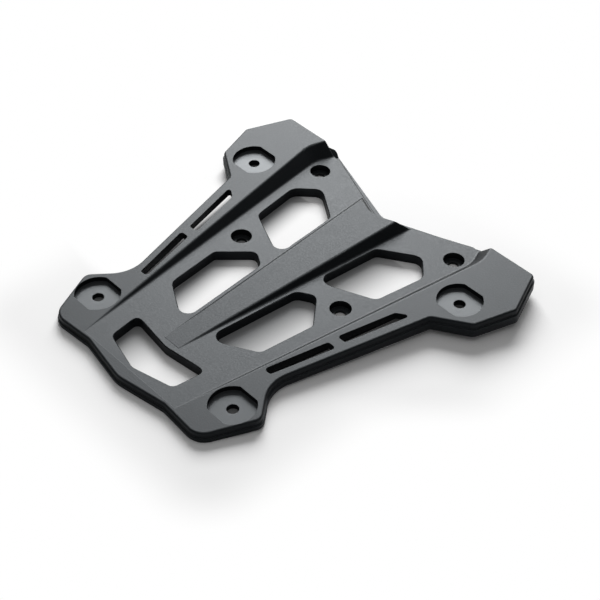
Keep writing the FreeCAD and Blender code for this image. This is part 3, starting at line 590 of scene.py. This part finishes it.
@dataclass(frozen=True)
class PaleFloor:
    """Matt white studio floor.

    Close to the plate it keeps the shadow and, under the plate, a painted shade; further out it
    is seen as plain white.
    """

    colour: Colour = (0.96, 0.96, 0.96)
    white: Colour = (1.0, 1.0, 1.0)
    roughness: float = 0.85
    specular: float = 0.1
    wing_half: float = CAD_BOX[1][0]
    foot_share: float = 0.66  # width at the front feet, as a share of the wings'
    wing_start: float = -125 * MM
    wing_full: float = -35 * MM
    shadow_reach: float = 8 * MM
    white_reach: float = 62 * MM
    rail_foot: float = 123 * MM  # foot of the left rail at the origin
    rail_splay: float = 0.187  # its growth per metre to the rear
    rail_inside: float = 14 * MM
    rail_outside: float = 4 * MM
    rail_front: float = -172 * MM
    rail_rear: float = -8 * MM
    rail_blend: float = 15 * MM
    least_white: float = 0.015
    # painted shade under the plate
    painted_shade: PaintedFloorShade = field(default_factory=PaintedFloorShade)

    def away(self, graph: Graph, x: Value, y: Value) -> Value:
        """Distance from the plate's rough footprint.

        Args:
            graph: The material's node tree.
            x: Position across.
            y: Position along.

        Returns:
            The distance, 0 inside the footprint.
        """
        foot_half = self.foot_share * self.wing_half
        half = foot_half + (self.wing_half - foot_half) * y.ramp(self.wing_start, self.wing_full)
        front, rear = CAD_BOX[0][1], CAD_BOX[1][1]
        across = graph.greater(x.distance() - half, 0.0)
        along = graph.greater((y - (front + rear) / 2).distance() - (rear - front) / 2, 0.0)
        return (across * across + along * along).power(0.5)

    def beyond_rail(self, x: Value, y: Value) -> Value:
        """Where the floor lies beyond the foot of the left rail, on the key light's side.

        Args:
            x: Position across.
            y: Position along.

        Returns:
            1 beyond the rail's foot and 0 elsewhere.
        """
        rail = -x - (self.rail_foot + self.rail_splay * y)
        return rail.ramp(-self.rail_inside, -self.rail_outside) \
            * y.ramp(self.rail_front, self.rail_front + self.rail_blend) \
            * y.ramp(self.rail_rear, self.rail_rear - self.rail_blend)

    def white_share(self, graph: Graph) -> Value:
        """Where the floor is seen as plain white.

        Args:
            graph: The material's node tree.

        Returns:
            1 for white and 0 for painted floor with its shadow.
        """
        place = graph.node("ShaderNodeTexCoord").outputs["Object"]
        x, y, _ = graph.split(place)
        far = self.away(graph, x, y).ramp(self.shadow_reach, self.white_reach)
        return graph.greater(graph.greater(far, self.beyond_rail(x, y)), self.least_white)

    def material(self) -> bpy.types.Material:
        """Builds the floor's finish.

        Returns:
            The material.
        """
        graph = Graph("pale_floor")
        rays = graph.node("ShaderNodeLightPath")
        camera, glossy, through = (Value(graph, rays.outputs[ray.value]) for ray in Facing)
        seen = graph.greater(camera, graph.greater(glossy, through))
        # painted shade, mixed into the floor's colour
        painted_dim = self.painted_shade.share(graph)
        paint = graph.node("ShaderNodeBsdfPrincipled", inputs={
            "Base Color": graph.mix(Channel.COLOUR, painted_dim, self.colour, self.painted_shade.colour),
            "Roughness": self.roughness,
            "Specular IOR Level": self.specular,
        })
        glow = graph.node("ShaderNodeEmission", inputs={"Color": self.white, "Strength": 1.0})
        both = graph.node("ShaderNodeMixShader", inputs={
            0: seen * self.white_share(graph),
            1: paint.outputs["BSDF"], 2: glow.outputs["Emission"],
        })
        return graph.output(both.outputs["Shader"])


@dataclass
class CarrierPlate:
    """The one-piece plate, as imported from model.glb."""

    node: str = "bracket_plate"
    coat: SatinCoat = field(default_factory=SatinCoat)

    def dress(self, nodes: Mapping[str, bpy.types.Object]) -> bpy.types.Object:
        """Puts the coat on the plate.

        Args:
            nodes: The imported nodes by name.

        Returns:
            The plate.
        """
        plate = nodes[self.node]
        coat = self.coat.material()
        for slot in plate.material_slots:
            slot.material = coat
        return plate


@dataclass(frozen=True)
class SoftBox:
    """A flat soft light that looks at a point of the part."""

    name: str
    place: Point
    target: Point
    width: float
    height: float
    radiance: float

    def switch_on(self) -> bpy.types.Object:
        """Makes the light.

        Returns:
            The light's object.
        """
        lamp = bpy.data.lights.new(self.name, "AREA")
        lamp.shape = "RECTANGLE"
        lamp.size = self.width
        lamp.size_y = self.height
        lamp.energy = self.radiance * math.pi * self.width * self.height
        light = bpy.data.objects.new(self.name, lamp)
        light.location = self.place
        away = Vector(self.place) - Vector(self.target)
        light.rotation_euler = away.to_track_quat("Z", "Y").to_euler()
        light.visible_camera = False
        bpy.context.scene.collection.objects.link(light)
        return light


@dataclass
class Studio:
    """Floor, soft boxes and the dim room around them."""

    floor_size: float = 30.0
    floor_gap: float = 0.02 * MM
    room: Colour = (0.10, 0.10, 0.10)
    finish: PaleFloor = field(default_factory=PaleFloor)
    boxes: Sequence[SoftBox] = (
        SoftBox("key_box", (-1.48, 1.45, 1.36), (0.0, -0.05, 0.0), 1.7, 1.3, 13.2),
        SoftBox("top_box", (0.0, -0.05, 1.60), (0.0, -0.05, 0.0), 2.0, 2.0, 0.4),
        SoftBox("side_box", (1.5, -0.9, 1.3), (0.0, -0.05, 0.0), 0.9, 0.9, 0.3),
    )

    def lay_floor(self) -> bpy.types.Object:
        """Makes the floor.

        Returns:
            The floor's object.
        """
        half = self.floor_size / 2
        mesh = bpy.data.meshes.new("studio_floor")
        corners = [(-half, -half, 0.0), (half, -half, 0.0), (half, half, 0.0), (-half, half, 0.0)]
        mesh.from_pydata(corners, [], [(0, 1, 2, 3)])
        mesh.materials.append(self.finish.material())
        floor = bpy.data.objects.new("studio_floor", mesh)
        floor.location = (0.0, 0.0, CAD_BOX[0][2] - self.floor_gap)
        bpy.context.scene.collection.objects.link(floor)
        return floor

    def light_up(self) -> None:
        """Sets the room's dim light and switches the soft boxes on."""
        world = bpy.data.worlds.new("studio_room")
        world.use_nodes = True
        back = world.node_tree.nodes["Background"]
        back.inputs["Color"].default_value = (*self.room, 1.0)
        back.inputs["Strength"].default_value = 1.0
        bpy.context.scene.world = world
        for box in self.boxes:
            box.switch_on()


@dataclass(frozen=True)
class Viewpoint:
    """The camera, high over the front right corner of the plate."""

    place: Point = (0.605213, -0.637924, 0.756497)
    turn: Point = (47.162126, -1.425746, 46.765074)  # degrees
    lens: float = 83.988  # millimetres, as is the film's width
    film: float = 36.0
    nearest: float = 0.01
    farthest: float = 20.0

    def look(self) -> bpy.types.Object:
        """Makes the camera and gives it to the scene.

        Returns:
            The camera's object.
        """
        camera = bpy.data.cameras.new("photo_view")
        camera.lens = self.lens
        camera.sensor_width = self.film
        camera.sensor_fit = "HORIZONTAL"
        camera.clip_start = self.nearest
        camera.clip_end = self.farthest
        camera.dof.use_dof = False
        view = bpy.data.objects.new("photo_view", camera)
        view.location = self.place
        view.rotation_euler = Euler([math.radians(angle) for angle in self.turn], "XYZ")
        bpy.context.scene.collection.objects.link(view)
        bpy.context.scene.camera = view
        return view


def main() -> None:
    """Builds the scene in order and reports each piece."""
    logging.basicConfig(level=logging.INFO)
    scene = bpy.context.scene
    scene.view_settings.view_transform = "Standard"
    view = Viewpoint().look()
    LOG.info("camera %s at %s", view.name, tuple(round(c, 3) for c in view.location))
    plate = CarrierPlate().dress(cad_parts)
    LOG.info("plate %s with %d facets", plate.name, len(plate.data.polygons))
    studio = Studio()
    floor = studio.lay_floor()
    LOG.info("floor %s at z %.5f", floor.name, floor.location.z)
    studio.light_up()
    LOG.info("%d soft boxes", len(studio.boxes))


if __name__ == "__main__":
    main()
